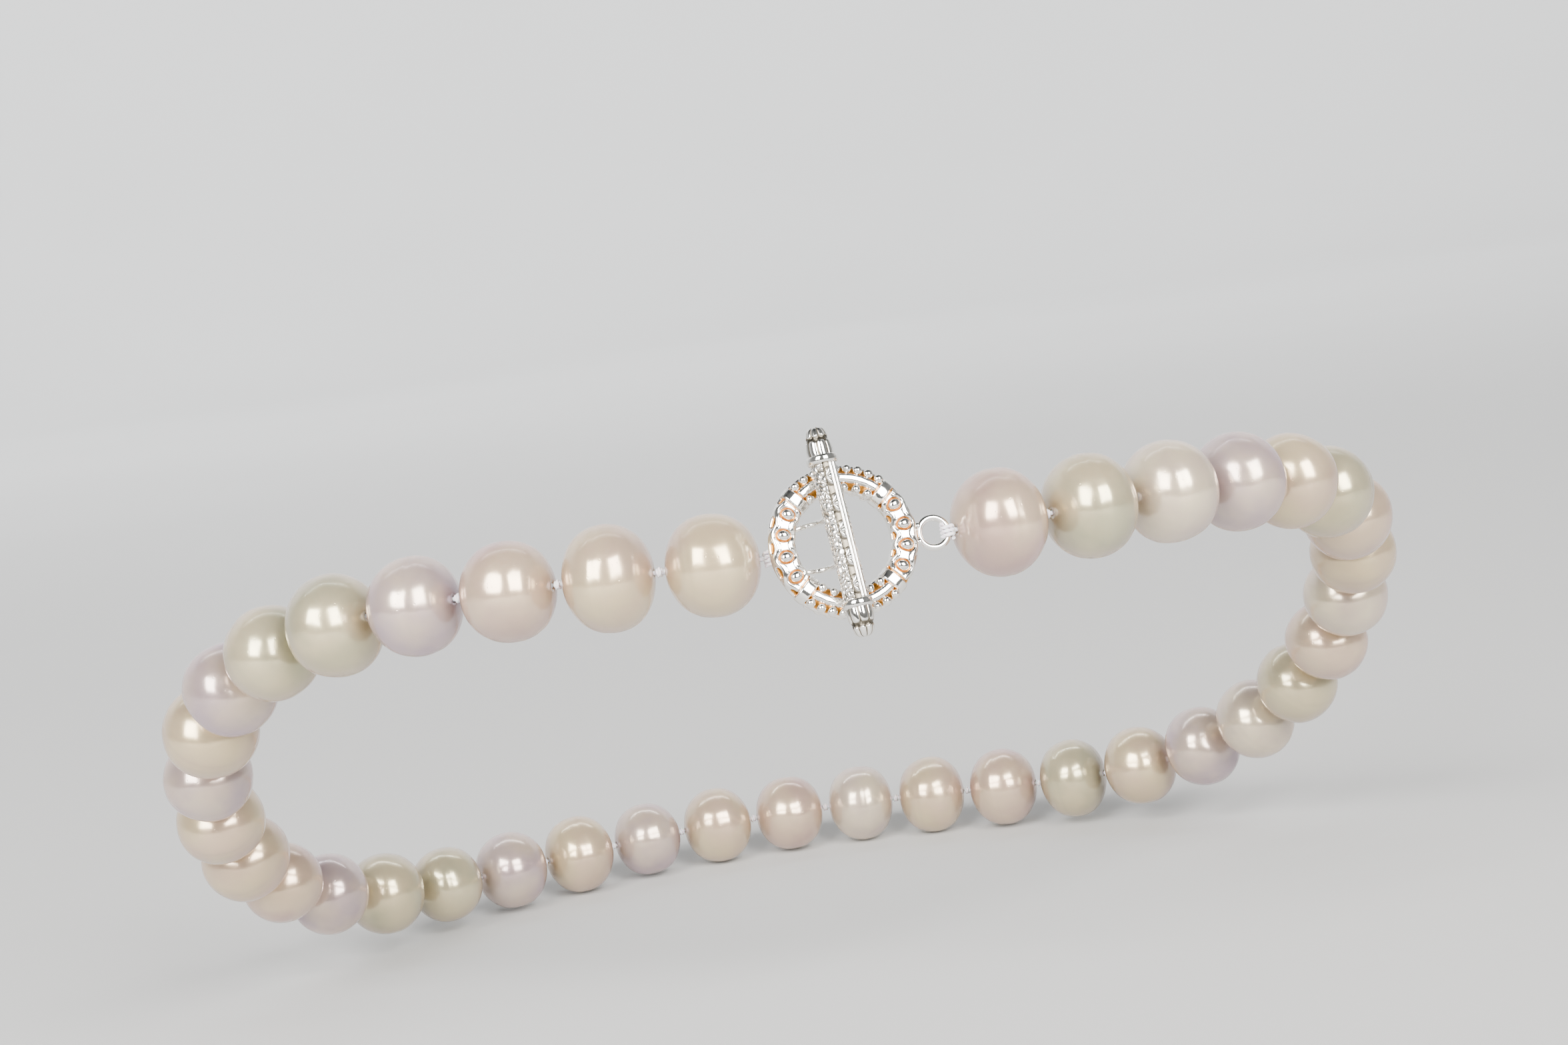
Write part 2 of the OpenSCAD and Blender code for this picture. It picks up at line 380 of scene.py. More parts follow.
# %% The shape of one pearl
SHOULDER = 2.15
DRILL_RADIUS = 0.42
ROUND, LONG = 96, 60

def pearl_noise(points, seed, scale):
    offset = Vector((seed * 7.3, seed * 3.1, seed * 5.7))
    return np.array([noise.noise(Vector(p) * scale + offset) for p in points])


def pearl_grid(half, radius):
    """A pearl's points in its own frame, thread along Z, and its unit directions."""
    first = math.asin((DRILL_RADIUS / radius) ** (SHOULDER / 2))
    outline = np.linspace(first, math.pi - first, LONG)
    around = np.linspace(0, 2 * math.pi, ROUND, endpoint=False)
    z = half * np.sign(np.cos(outline)) * np.abs(np.cos(outline)) ** (2 / SHOULDER)
    r = radius * np.sin(outline) ** (2 / SHOULDER)
    grid = np.stack([
        np.outer(r, np.cos(around)),
        np.outer(r, np.sin(around)),
        np.repeat(z[:, None], ROUND, axis=1),
    ], axis=-1).reshape(-1, 3)
    outwards = grid / np.linalg.norm(grid, axis=1)[:, None]
    return grid, outwards, np.repeat(z / half, ROUND)

print("points on one pearl:", len(pearl_grid(first_half, first_radius)[0]))


# %% A pearl in its place
def make_pearl(side, i):
    """One pearl in its place, with its colours and a painted shade near its drilled ends put on its points.
    """
    middle, along, half, radius = pearl_facts(side, i)
    seed = i + (50 if side == "l" else 0)
    grid, outwards, latitude = pearl_grid(half, radius)
    chance = np.random.default_rng(seed)
    lumps = 0.024 * pearl_noise(outwards, seed, 1.2) + 0.007 * pearl_noise(outwards, seed + 9, 3.0)
    ring_at = chance.uniform(-0.55, 0.55)
    rings = 0.007 * np.exp(-((latitude - ring_at) / 0.05) ** 2)
    calm = np.clip((1 - np.abs(latitude)) / 0.12, 0, 1)
    swell = 1 + (lumps - 0.010 - rings) * calm
    points = grid * np.stack([swell, swell, 1 + (swell - 1) * 0.4], axis=1)
    faces = grid_faces(LONG, ROUND, True)
    body_tone, blush_tone = (np.array(t) for t in tone_of(side, i))
    band = np.exp(-((latitude - chance.uniform(-0.5, 0.5)) / 0.3) ** 2)
    patch = np.clip(0.5 + pearl_noise(outwards, seed + 4, 1.1), 0, 1)
    # Painted shade: the pearl turns tan towards both drilled ends, standing in for its darker shaded rims;
    # the noise patches are its own warm tone.
    painted_rim_shade = np.clip((np.abs(latitude) - 0.8) / 0.2, 0, 1) ** 2
    tan_tone_and_rim_shade = np.clip(0.35 * patch + 0.5 * painted_rim_shade, 0, 1)[:, None]
    painted = body_tone * (1 - tan_tone_and_rim_shade) + (0.55 * body_tone + 0.45 * TAN_TONE_AND_RIM_SHADE) * tan_tone_and_rim_shade
    blushed = blush_tone * (0.9 + 0.1 * band[:, None])
    placed = points @ axes_along(along) + middle
    # The body_tone mark holds the tone with the painted shade near the drilled ends.
    marks_here = {"body_tone": painted, "blush_tone": blushed}
    piece = add_piece(f"nacre_{side}{i:02d}", placed, faces, nacre, marks_here)
    return face_outwards(piece)


# %% String the pearls
for side, word in SIDES.items():
    for i in range(1, PEARLS_A_SIDE + 1):
        pearl = make_pearl(side, i)
        link = "front" if i == PEARLS_A_SIDE else f"{word}_{(i + 1) // 2:02d}"
        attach(pearl, link)
        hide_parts(f"pearl_{side}{i:02d}")
print("faces on one pearl:", len(pearl.data.polygons))

# %% [markdown]
# ## Silk
# Pearl silk is two plies twisted together. Between two pearls it is tied in an
# overhand knot, and at the clasp it wraps the wire several times. A curve swept with
# a flattened outline that turns as it goes gives the twist as real ridges. The
# sweep is one Geometry Nodes tree, used for every thread, knot and wrap.

# %% Silk finish
silk, silk_tree, silk_shader = finish_named("twisted silk", {
    "Sheen Weight": 0.5,
    "Sheen Roughness": 0.35,
    "Sheen Tint": (0.95, 0.92, 1.0, 1.0),
    "Subsurface Weight": 0.2,
    "Subsurface Scale": 0.0003,
})
silk_place = node_in(silk_tree, "ShaderNodeTexCoord").outputs["Object"]
fibres = node_in(silk_tree, "ShaderNodeTexNoise",
                 {"Vector": silk_place, "Scale": 6500.0, "Detail": 3.0}).outputs["Fac"]
silk_tone = mix_tones(silk_tree, fibres, (0.70, 0.66, 0.72, 1), (0.90, 0.87, 0.90, 1))
silk_rough = node_in(silk_tree, "ShaderNodeMapRange",
                     {"Value": fibres, "To Min": 0.42, "To Max": 0.62})
silk_bump = node_in(silk_tree, "ShaderNodeBump",
                    {"Strength": 0.4, "Distance": 0.00003, "Height": fibres})
silk_tree.links.new(silk_tone, silk_shader.inputs["Base Color"])
silk_tree.links.new(silk_rough.outputs[0], silk_shader.inputs["Roughness"])
silk_tree.links.new(silk_bump.outputs["Normal"], silk_shader.inputs["Normal"])
print("nodes in the silk:", len(silk_tree.nodes))

# %% Geometry Nodes helpers
def geometry_tree(name, inputs):
    """A tree that takes and gives a mesh, with more named inputs."""
    tree = bpy.data.node_groups.new(name, "GeometryNodeTree")
    tree.interface.new_socket("Geometry", in_out="INPUT", socket_type="NodeSocketGeometry")
    for label, kind in inputs:
        tree.interface.new_socket(label, in_out="INPUT", socket_type="NodeSocket" + kind)
    tree.interface.new_socket("Geometry", in_out="OUTPUT", socket_type="NodeSocketGeometry")
    return tree, node_in(tree, "NodeGroupInput").outputs, node_in(tree, "NodeGroupOutput").inputs


def grow(piece, tree, values):
    """Runs a tree on a piece and keeps the result as its plain mesh."""
    modifier = piece.modifiers.new(tree.name, "NODES")
    modifier.node_group = tree
    sockets = {s.name: s.identifier for s in tree.interface.items_tree if s.in_out == "INPUT"}
    for label, value in values.items():
        modifier[sockets[label]] = value
    bpy.context.view_layer.update()
    done = bpy.data.meshes.new_from_object(
        piece.evaluated_get(bpy.context.evaluated_depsgraph_get()))
    piece.modifiers.clear()
    piece.data = done
    done.shade_smooth()
    return piece


def paths_piece(name, paths):
    """A piece that holds only lines, one for each path of points in millimetres."""
    mesh = bpy.data.meshes.new(name)
    points = np.vstack(paths) * MM
    edges, start = [], 0
    for path in paths:
        edges += [(start + k, start + k + 1) for k in range(len(path) - 1)]
        start += len(path)
    mesh.from_pydata(points.tolist(), edges, [])
    piece = bpy.data.objects.new(name, mesh)
    bpy.context.scene.collection.objects.link(piece)
    return piece

# %% The twisted sweep
twist_tree, twist_in, twist_out = geometry_tree("twisted sweep", [
    ("Width", "Float"), ("Flatness", "Float"), ("Turn length", "Float"),
    ("Sides", "Int"), ("Finish", "Material"),
])
lines = node_in(twist_tree, "GeometryNodeMeshToCurve", {"Mesh": twist_in["Geometry"]})
so_far = node_in(twist_tree, "GeometryNodeSplineParameter").outputs["Length"]
turns = node_in(twist_tree, "ShaderNodeMath",
                {0: so_far, 1: twist_in["Turn length"]}, operation="DIVIDE")
angle = node_in(twist_tree, "ShaderNodeMath",
                {0: turns.outputs[0], 1: 2 * math.pi}, operation="MULTIPLY")
tilted = node_in(twist_tree, "GeometryNodeSetCurveTilt",
                 {"Curve": lines.outputs["Curve"], "Tilt": angle.outputs[0]})
radius = node_in(twist_tree, "ShaderNodeMath",
                 {0: twist_in["Width"], 1: 0.5}, operation="MULTIPLY")
ring_line = node_in(twist_tree, "GeometryNodeCurvePrimitiveCircle",
                    {"Resolution": twist_in["Sides"], "Radius": radius.outputs[0]})
squash_by = node_in(twist_tree, "ShaderNodeCombineXYZ",
                    {"X": 1.0, "Y": twist_in["Flatness"], "Z": 1.0})
outline = node_in(twist_tree, "GeometryNodeTransform",
                  {"Geometry": ring_line.outputs["Curve"], "Scale": squash_by.outputs[0]})
swept = node_in(twist_tree, "GeometryNodeCurveToMesh",
                {"Curve": tilted.outputs[0], "Profile Curve": outline.outputs[0],
                 "Fill Caps": True})
real = node_in(twist_tree, "GeometryNodeRealizeInstances", {"Geometry": swept.outputs[0]})
dressed = node_in(twist_tree, "GeometryNodeSetMaterial",
                  {"Geometry": real.outputs[0], "Material": twist_in["Finish"]})
twist_tree.links.new(dressed.outputs[0], twist_out["Geometry"])
print("nodes in the twisted sweep:", len(twist_tree.nodes))

# %% [markdown]
# ## Knots and wraps
# An overhand knot pulled tight looks like two and a half turns of silk round itself.
# Its path is a coil that starts and ends on the thread. The wraps at the clasp are
# a coil round the wire, lying side by side.

# %% Paths of silk
SILK_WIDTH = 0.66
KNOT_SILK = 0.44
WRAP_SILK = 0.46
WRAP_TURNS = 3.6
THREAD_START = 0.64       # where a thread leaves the knot before it
FIRST_THREAD_START = 0.5  # and where it leaves the wraps at the clasp


def knot_path(middle, along):
    """A coil of two and a half turns that begins and ends on the thread."""
    t = np.linspace(0, 1, 56)
    frame_rows = axes_along(along)
    swell = np.sin(math.pi * t) ** 0.45
    turning = 2 * math.pi * 2.5 * t
    reach = 0.34 * swell
    coil = np.stack([reach * np.cos(turning), reach * np.sin(turning), (t - 0.5) * 0.66], axis=1)
    return coil @ frame_rows + middle


def wrap_path(middle, wire_along, towards, wire_radius):
    """Turns of silk side by side round a wire, ending on the pearl's side."""
    t = np.linspace(0, 1, 110)
    side_on = towards - wire_along * (towards @ wire_along)
    side_on /= np.linalg.norm(side_on)
    third = np.cross(wire_along, side_on)
    turning = 2 * math.pi * WRAP_TURNS * t
    reach = wire_radius + WRAP_SILK * 0.42
    climb = (t - 0.5) * WRAP_SILK * WRAP_TURNS * 0.9
    return (middle + np.outer(reach * np.cos(turning), side_on)
            + np.outer(reach * np.sin(turning), third) + np.outer(climb, wire_along))


def thread_path(start, end):
    return start + np.outer(np.linspace(0, 1, 40), end - start)


def sweep_silk(name, paths, width):
    piece = paths_piece(name, paths)
    return grow(piece, twist_tree, {"Width": width * MM, "Flatness": 0.74,
                                    "Turn length": 1.1 * MM, "Sides": 10, "Finish": silk})

knot_steps = np.diff(knot_path(np.zeros(3), np.array([1.0, 0, 0])), axis=0)
print(f"silk in one knot: {np.linalg.norm(knot_steps, axis=1).sum():.1f} mm")

# %% Silk on every link
def unit_step(knots, i):
    run = knots[i] - knots[i - 1]
    return run / np.linalg.norm(run)


def link_silk(side, j):
    """Threads and knots of link j, counted from the clasp."""
    _, knots = strands[side]
    first, last = 2 * j - 1, 2 * j
    name = f"{side}{j:02d}"
    begin = knots[first - 1] + unit_step(knots, first) * (
        THREAD_START if j > 1 else FIRST_THREAD_START)
    threads = [thread_path(begin, knots[first]), thread_path(knots[first], knots[last])]
    tied = [knot_path(knots[i], unit_step(knots, i)) for i in (first, last)]
    return [sweep_silk(f"thread_{name}", threads, SILK_WIDTH),
            sweep_silk(f"knots_{name}", tied, KNOT_SILK)]


for side, word in SIDES.items():
    for j in range(1, LINKS_A_SIDE + 1):
        for piece in link_silk(side, j):
            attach(piece, f"{word}_{j:02d}")
            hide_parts(f"silk_{side}{j:02d}")

front_knot = strands["r"][1][-1]
front_threads = []
for side in SIDES:
    knots = strands[side][1]
    near = knots[-2] + unit_step(knots, PEARLS_A_SIDE) * THREAD_START
    front_threads.append(thread_path(near, front_knot))
front_pieces = [
    sweep_silk("thread_front", front_threads, SILK_WIDTH),
    sweep_silk("knot_front", [knot_path(front_knot, np.array([-1.0, 0, 0]))], KNOT_SILK),
]
for piece in front_pieces:
    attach(piece, "front")
    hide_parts("silk_front")
print("faces on one link's knots:", len(front_pieces[1].data.polygons))

# %% [markdown]
# ## Plated metal
# The clasp is a casting with a gold wash in its hollows and bright silver on what
# fingers and polishing reach. The relief marks how deep each point lies, and this
# group turns that mark into a blend, broken up so the edge of the wash is uneven.

# %% Plating group
plate_group, plate_in, plate_out = shader_group(
    "plating",
    [("Depth", "Float", 0.0), ("High tone", "Color", (0.9, 0.9, 0.88, 1)),
     ("Low tone", "Color", (0.8, 0.5, 0.2, 1)), ("Deep tone", "Color", (0.1, 0.05, 0.02, 1))],
    [("Color", "Color"), ("Roughness", "Float"), ("Height", "Float")],
)
plate_place = node_in(plate_group, "ShaderNodeTexCoord").outputs["Object"]
grain = node_in(plate_group, "ShaderNodeTexNoise",
                {"Vector": plate_place, "Scale": 2600.0, "Detail": 4.0}).outputs["Fac"]
ragged = node_in(plate_group, "ShaderNodeMapRange",
                 {"Value": grain, "To Min": -0.35, "To Max": 0.35})
pushed = node_in(plate_group, "ShaderNodeMath",
                 {0: plate_in["Depth"], 1: ragged.outputs[0]}, operation="ADD")
wash = node_in(plate_group, "ShaderNodeMapRange",
               {"Value": pushed.outputs[0], "From Min": 0.35, "From Max": 0.65})
washed = mix_tones(plate_group, wash.outputs[0], plate_in["High tone"], plate_in["Low tone"])
tarnish = node_in(plate_group, "ShaderNodeMapRange",
                  {"Value": pushed.outputs[0], "From Min": 0.80, "From Max": 1.15})
plated = mix_tones(plate_group, tarnish.outputs[0], washed, plate_in["Deep tone"])
dull = node_in(plate_group, "ShaderNodeMapRange",
               {"Value": wash.outputs[0], "To Min": 0.08, "To Max": 0.38})
plate_group.links.new(plated, plate_out["Color"])
plate_group.links.new(dull.outputs[0], plate_out["Roughness"])
plate_group.links.new(grain, plate_out["Height"])
print("nodes in the plating:", len(plate_group.nodes))


# %% Two plated metals
def plated_metal(name, high, low, deepest):
    """Bright on the high spots, with another tone in the hollows."""
    material, tree, shader = finish_named(name, {"Metallic": 1.0})
    deep = node_in(tree, "ShaderNodeAttribute", attribute_name="hollow").outputs["Fac"]
    plate = node_in(tree, "ShaderNodeGroup",
                    {"Depth": deep, "High tone": high, "Low tone": low, "Deep tone": deepest},
                    node_tree=plate_group)
    rough_bump = node_in(tree, "ShaderNodeBump", {"Strength": 0.15, "Distance": 0.00003,
                                                  "Height": plate.outputs["Height"]})
    tree.links.new(plate.outputs["Color"], shader.inputs["Base Color"])
    tree.links.new(plate.outputs["Roughness"], shader.inputs["Roughness"])
    tree.links.new(rough_bump.outputs["Normal"], shader.inputs["Normal"])
    return material


SILVER = (0.88, 0.86, 0.82, 1)
GOLD_WASH = (0.52, 0.22, 0.035, 1)
BROWN_TARNISH = (0.07, 0.028, 0.008, 1)
GREY_WASH = (0.20, 0.175, 0.135, 1)
BLACK_TARNISH = (0.02, 0.018, 0.015, 1)
ring_metal = plated_metal("ring plating", SILVER, GOLD_WASH, BROWN_TARNISH)
bar_metal = plated_metal("bar plating", SILVER, GREY_WASH, BLACK_TARNISH)
print("metals:", ring_metal.name, "and", bar_metal.name)

# %% [markdown]
# ## Where the clasp lies
# The clasp leans back against the neck, so its pieces are drawn level and then
# turned. Its directions come from the model: the ring's thinnest direction, the line
# from its middle to the right eye, and for the bar the axis of its joint.

# %% The clasp's own directions
RING_RADIUS, RING_WALL, RING_THICK = 7.75, 2.8, 2.2
RING_MID = RING_RADIUS - RING_WALL / 2


def node_points(node):
    cad = frame["nodes"][node].data
    points = np.empty(len(cad.vertices) * 3)
    cad.vertices.foreach_get("co", points)
    return points.reshape(-1, 3) / MM


def unit(v):
    return np.asarray(v) / np.linalg.norm(v)


spread_of_ring = np.cov((node_points("clasp_ring") - ring_centre).T)
clasp_inward = unit(np.linalg.eigh(spread_of_ring)[1][:, 0])
clasp_inward *= math.copysign(1, clasp_inward[1])
right_eye = joint_place("right_01_flex")
left_eye = joint_place("toggle_lift")
clasp_right = right_eye - ring_centre
clasp_right = unit(clasp_right - clasp_inward * (clasp_right @ clasp_inward))
clasp_axes = np.array([clasp_right, clasp_inward, np.cross(clasp_right, clasp_inward)])
bar_up = -unit(joints["toggle_lift"]["axis"])
toggle_axes = np.array([unit(np.cross(clasp_inward, bar_up)), clasp_inward, bar_up])


def on_clasp(points):
    """From the ring's own frame (right, towards the neck, up) into place."""
    return np.asarray(points) @ clasp_axes + ring_centre


bar_points = node_points("toggle_bar")
bar_run = bar_points @ bar_up
bar_tips = [bar_points[bar_run > bar_run.max() - 0.01].mean(axis=0),
            bar_points[bar_run < bar_run.min() + 0.01].mean(axis=0)]
bar_middle = (bar_tips[0] + bar_tips[1]) / 2
bar_half = np.linalg.norm(bar_tips[0] - bar_tips[1]) / 2


def on_toggle(points):
    """From the bar's own frame, with its middle at the origin, into place."""
    return np.asarray(points) @ toggle_axes + bar_middle


print(f"bar {2 * bar_half:.2f} mm long, leaning {math.degrees(math.asin(-bar_up @ clasp_right)):.1f} degrees")

# %% [markdown]
# ## The clasp ring
# Four smooth collars divide the ring. Above and below, two rows of beads run either
# side of a raised band. At the sides, domed ovals sit in grooves with a scalloped
# border. All of this is relief on one casting, so it is a height added to one grid,
# and the same formula says where the gold wash collects. The sides' backs are plain,
# so the bar's loop can swing behind the ring without catching.


# %% Relief of the ring
def bump_at(x, half_width):
    """One at the middle of a ridge, falling smoothly to nothing at its edges."""
    return np.clip(1 - (x / half_width) ** 2, 0, 1)


def step_up(x, low, high):
    t = np.clip((x - low) / (high - low), 0, 1)
    return t * t * (3 - 2 * t)


BAND_HALF_ANGLE = 4.07
DOME_ANGLES = [-29.4, -9.8, 9.8, 29.4]


def ring_relief(theta, across, facing, in_front):
    """Height in mm and hollow mark. theta in degrees, across is mm from the wall's middle."""
    quarter = np.mod(theta + 45, 90) - 45
    from_band = 45 - np.abs(quarter)
    sideways = np.abs(np.mod(theta + 90, 180) - 90) < 45
    radius = RING_MID + across
    to_band = from_band * math.pi / 180 * radius - 0.55
    inside = step_up(to_band, 0.0, 0.18) * facing

    # Rows of beads with a smooth band between them
    trough = bump_at(np.abs(across) - 0.98, 0.60) ** 0.6
    band_top = bump_at(across, 0.42) ** 0.5 * 0.12
    bead_h = -0.34 * trough + band_top
    bead_hollow = np.clip(trough * 1.15 - 0.1, 0, 1)

    # Domed ovals, each in a groove, with a wavy ribbon running along either side
    gaps = quarter[..., None] - np.array(DOME_ANGLES)
    nearest = np.take_along_axis(gaps, np.argmin(np.abs(gaps), axis=-1)[..., None], axis=-1)[..., 0]
    arc = np.radians(nearest) * RING_MID
    d = np.hypot(arc / 0.50, across / 0.64)
    dome = 0.30 * np.sqrt(bump_at(d, 1.0))
    groove = bump_at(d - 1.20, 0.22)
    wave = np.cos(2 * math.pi * nearest / (DOME_ANGLES[1] - DOME_ANGLES[0]))
    ribbon_at = 0.97 + 0.17 * wave
    ribbon = bump_at(np.abs(across) - ribbon_at, 0.27)
    gap = step_up(np.abs(across) - ribbon_at, 0.16, 0.30) * step_up(-wave, -0.1, 0.6)
    dome_h = (dome - 0.24 * groove + 0.12 * ribbon - 0.30 * gap) * in_front
    dome_hollow = np.clip(1.15 * groove + 1.1 * gap - 0.5 * ribbon, 0, 1) * in_front
    height = np.where(sideways, dome_h, bead_h) * inside
    hollow = np.where(sideways, dome_hollow, bead_hollow) * inside
    collar = 0.10 * (1 - step_up(to_band, -0.12, 0.02))
    seam = bump_at(to_band - 0.10, 0.12)
    return height + collar - 0.10 * seam * facing, np.clip(hollow + 0.7 * seam * facing, 0, 1)

dome_height, _ = ring_relief(np.array([DOME_ANGLES[2]]), np.zeros(1), np.ones(1), np.ones(1))
print(f"a dome stands {dome_height[0]:.2f} mm proud")

# %% The ring's grid
AROUND_RING, ROUND_WALL = 900, 84


def superellipse(half_w, half_h, power, a):
    """The wall's rounded outline: across the wall, and through its thickness."""
    c, s = np.cos(a), np.sin(a)
    return (half_w * np.sign(c) * np.abs(c) ** (2 / power),
            half_h * np.sign(s) * np.abs(s) ** (2 / power))


theta = np.linspace(0, 360, AROUND_RING, endpoint=False)
phi = np.linspace(0, 2 * math.pi, ROUND_WALL, endpoint=False)
wall_w, wall_h = superellipse(RING_WALL / 2, RING_THICK / 2, 2.3, phi)
normal_w = np.roll(wall_h, -1) - np.roll(wall_h, 1)
normal_h = np.roll(wall_w, 1) - np.roll(wall_w, -1)
length = np.hypot(normal_w, normal_h)
normal_w, normal_h = normal_w / length, normal_h / length
T, W = np.meshgrid(theta, wall_w, indexing="ij")
_, H = np.meshgrid(theta, wall_h, indexing="ij")
facing = step_up(np.abs(H) / (RING_THICK / 2), 0.15, 0.45)
in_front = np.where(H < 0, 0.0, 1.0)
ring_height, ring_hollow = ring_relief(T, W, facing, in_front)
dents = np.array([noise.noise(Vector((math.cos(math.radians(t)) * 9, math.sin(math.radians(t)) * 9, h * 3)))
                  for t, h in zip(T.ravel(), H.ravel())]).reshape(T.shape)
ring_height = ring_height + 0.018 * dents
radial = RING_MID + W + normal_w * ring_height
depth = H + normal_h * ring_height
angle_of = np.radians(T)
ring_points = np.stack([radial * np.cos(angle_of), -depth, radial * np.sin(angle_of)], axis=-1)
ring = add_piece("cast_ring", on_clasp(ring_points.reshape(-1, 3)),
                 grid_faces(AROUND_RING, ROUND_WALL, True), ring_metal, {"hollow": ring_hollow.ravel()})
face_outwards(ring)
print("faces on the ring:", len(ring.data.polygons))

# %% [markdown]
# ## Beads on the ring
# The rows of beads repeat, so they are instances. One tree puts a small ball on each
# point it is given, and Realize Instances turns them into plain mesh at the end.

# %% Beads from points
bead_tree, bead_in, bead_out = geometry_tree("beads", [
    ("Bead radius", "Float"), ("Variation", "Float"), ("Seed", "Int"), ("Finish", "Material"),
])
dots = node_in(bead_tree, "GeometryNodeMeshToPoints", {"Mesh": bead_in["Geometry"]})
ball = node_in(bead_tree, "GeometryNodeMeshIcoSphere",
               {"Radius": bead_in["Bead radius"], "Subdivisions": 3})
least = node_in(bead_tree, "ShaderNodeMath", {0: 1.0, 1: bead_in["Variation"]}, operation="SUBTRACT")
sizes = node_in(bead_tree, "FunctionNodeRandomValue", data_type="FLOAT")
bead_tree.links.new(least.outputs[0], sizes.inputs[2])
sizes.inputs[3].default_value = 1.0
bead_tree.links.new(bead_in["Seed"], sizes.inputs["Seed"])
placed_balls = node_in(bead_tree, "GeometryNodeInstanceOnPoints",
                       {"Points": dots.outputs["Points"], "Instance": ball.outputs["Mesh"],
                        "Scale": sizes.outputs[1]})
real_balls = node_in(bead_tree, "GeometryNodeRealizeInstances", {"Geometry": placed_balls.outputs[0]})
shown_balls = node_in(bead_tree, "GeometryNodeSetMaterial",
                      {"Geometry": real_balls.outputs[0], "Material": bead_in["Finish"]})
bead_tree.links.new(shown_balls.outputs[0], bead_out["Geometry"])

print("nodes in the beads tree:", len(bead_tree.nodes))

# %% Where the beads lie
BEAD_ROWS = ((0.96, 9), (-0.96, 6))  # how far from the wall's middle, and how many
BEAD_DEPTH = 0.66
BEAD_FROM_BAND = 1.06


def bead_places():
    """Middles of the beads, above and below, on the front and the back."""
    places = []
    for middle_angle in (90, 270):
        for across, count in BEAD_ROWS:
            span = 2 * (45 - math.degrees(BEAD_FROM_BAND / (RING_MID + across)))
            for k in range(count):
                a = math.radians(middle_angle - span / 2 + span * k / (count - 1))
                r = RING_MID + across
                for side_of in (-1, 1):
                    places.append((r * math.cos(a), side_of * BEAD_DEPTH, r * math.sin(a)))
    return np.array(places)


def dots_piece(name, places):
    """A piece that holds only points, for the beads tree to fill."""
    mesh = bpy.data.meshes.new(name)
    mesh.from_pydata((places * MM).tolist(), [], [])
    piece = bpy.data.objects.new(name, mesh)
    bpy.context.scene.collection.objects.link(piece)
    return piece


beads = grow(dots_piece("ring_beads", on_clasp(bead_places())), bead_tree,
             {"Bead radius": 0.53 * MM, "Variation": 0.08, "Seed": 3, "Finish": ring_metal})
print("beads:", len(bead_places()))

# %% [markdown]
# ## Eyelet and loop wires
# Round wire bent to a ring or a loop is a circle swept along a path. The eyelet is
# soldered to the ring at two spots, where the solder forms small lumps.

# %% A tube along a path
def closed_tube(name, path, radius, material, sides=24, closed=True):
    """A round tube along a path of points, joined up or with flat ends."""
    path = np.asarray(path)
    count = len(path)
    if closed:
        run = np.roll(path, -1, axis=0) - np.roll(path, 1, axis=0)
    else:
        run = np.gradient(path, axis=0)
    run /= np.linalg.norm(run, axis=1)[:, None]
    side_on = np.cross(run[0], [0.3, 0.9, 0.2])
    round_wire = np.linspace(0, 2 * math.pi, sides, endpoint=False)
    rings = []
    for k in range(count):
        side_on = unit(side_on - run[k] * (side_on @ run[k]))
        third = np.cross(run[k], side_on)
        rings.append(path[k] + radius * (np.outer(np.cos(round_wire), side_on)
                                         + np.outer(np.sin(round_wire), third)))
    points = np.vstack(rings)
    faces = grid_faces(count, sides, closed)
    if not closed:
        faces += [tuple(range(sides))[::-1], tuple((count - 1) * sides + k for k in range(sides))]
    piece = add_piece(name, points, faces, material, {"hollow": np.zeros(len(points))})
    return face_outwards(piece)


# %% The eyelet and its solder
EYELET_MID, EYELET_WIRE, LOOP_WIRE = 1.53, 0.74, 0.60
eyelet_centre = np.array([9.5, 0, 0])

turn_round = np.linspace(0, 2 * math.pi, 96, endpoint=False)
eyelet_path = eyelet_centre + EYELET_MID * np.stack(
    [np.cos(turn_round), np.zeros(96), np.sin(turn_round)], axis=1)
eyelet = closed_tube("eyelet_wire", on_clasp(eyelet_path), EYELET_WIRE / 2, ring_metal)
solder = grow(dots_piece("solder_lumps", on_clasp(np.array([[7.92, -0.05, 0.8], [7.92, -0.05, -0.8]]))),
              bead_tree, {"Bead radius": 0.44 * MM, "Variation": 0.12, "Seed": 1, "Finish": ring_metal})

for piece, node in ((ring, "clasp_ring"), (beads, "clasp_ring"), (eyelet, "eyelet"), (solder, "eyelet")):
    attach(piece, "clasp")
    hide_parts(node)
print("faces on the eyelet:", len(eyelet.data.polygons))

# %% [markdown]
# ## The toggle bar
# The bar is a casting too. Down its left side runs a strip of small nuggets. Along
# the middle, petals fan out in clumps with dark facets between. A polished rail runs
# down its right side, and a bud closes each end beyond a smooth collar. The nuggets
# are cells of a Voronoi pattern raised into the grid, which gives true edges.


# %% Relief of the bar
BAR_RADIUS, COLLAR_AT, COLLAR_HALF = 1.25, 7.35, 0.425
ALONG_BAR, ROUND_BAR = 330, 150


def pebbles(points, scale):
    """Rounded cells: one at each cell's middle, nothing at its edge."""
    found = [noise.voronoi(Vector(p) * scale)[0][:2] for p in points]
    near = np.array([f[0] for f in found])
    second = np.array([f[1] for f in found])
    return np.clip((second - near) * 1.5, 0, 1) ** 0.5


